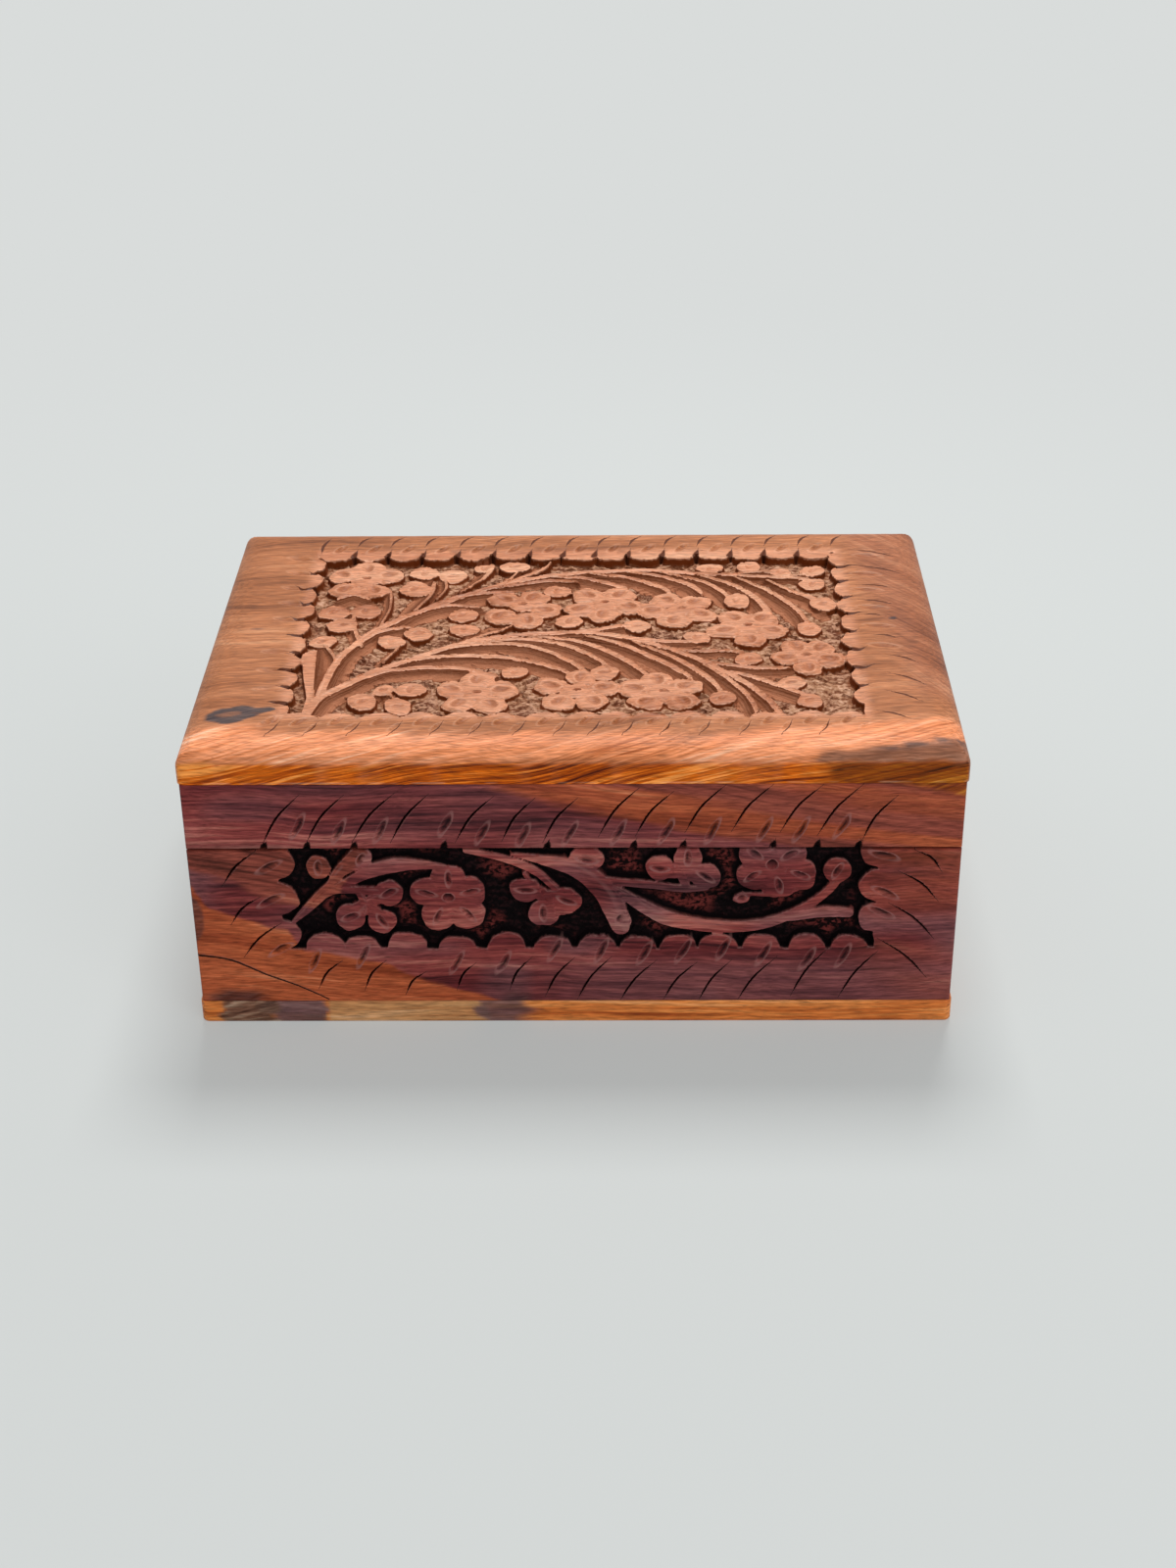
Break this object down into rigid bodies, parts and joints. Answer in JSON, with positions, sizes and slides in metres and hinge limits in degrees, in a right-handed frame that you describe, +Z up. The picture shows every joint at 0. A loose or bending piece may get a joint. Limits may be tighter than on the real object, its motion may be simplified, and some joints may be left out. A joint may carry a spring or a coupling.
{
  "type": "carved trinket box",
  "caption": "Small rectangular wooden box with a carved floral recess on its lid and front, a velvet-lined compartment and a lid hinged at the back.",
  "frame": {"origin": "middle of the underside of the base board", "axes": "+X along the box's width, +Y from the front to the hinged back, +Z up"},
  "size_m": [0.152, 0.103, 0.0635],
  "materials": {
    "panel_wood": "satin",
    "dark_wood": "satin",
    "side_wood": "satin",
    "base_wood": "satin",
    "velvet": "matte",
    "brass": "satin",
    "pin_steel": "satin"
  },
  "bodies": {
    "box": {"base_board": "base_wood", "front_wall": "dark_wood", "back_wall": "side_wood", "left_wall": "side_wood", "right_wall": "side_wood", "floor_lining": "velvet", "front_lining": "velvet", "back_lining": "velvet", "left_lining": "velvet", "right_lining": "velvet", "left_hinge_body_leaf": "brass", "right_hinge_body_leaf": "brass", "left_hinge_pin": "pin_steel", "right_hinge_pin": "pin_steel", "left_body_screw_outer": "brass", "left_body_screw_inner": "brass", "right_body_screw_outer": "brass", "right_body_screw_inner": "brass"},
    "lid": {"lid_top_panel": "panel_wood", "lid_front_rail": "dark_wood", "lid_back_rail": "side_wood", "lid_left_rail": "side_wood", "lid_right_rail": "side_wood", "lid_lining": "velvet", "left_hinge_lid_leaf": "brass", "right_hinge_lid_leaf": "brass", "left_lid_screw_outer": "brass", "left_lid_screw_inner": "brass", "right_lid_screw_outer": "brass", "right_lid_screw_inner": "brass"}
  },
  "joints": [
    {"name": "lid_hinge", "type": "hinge", "parent": "box", "child": "lid", "pos_m": [0, 0.0495, 0.041], "axis": [-1, 0, 0], "range_deg": [0, 100]}
  ]
}
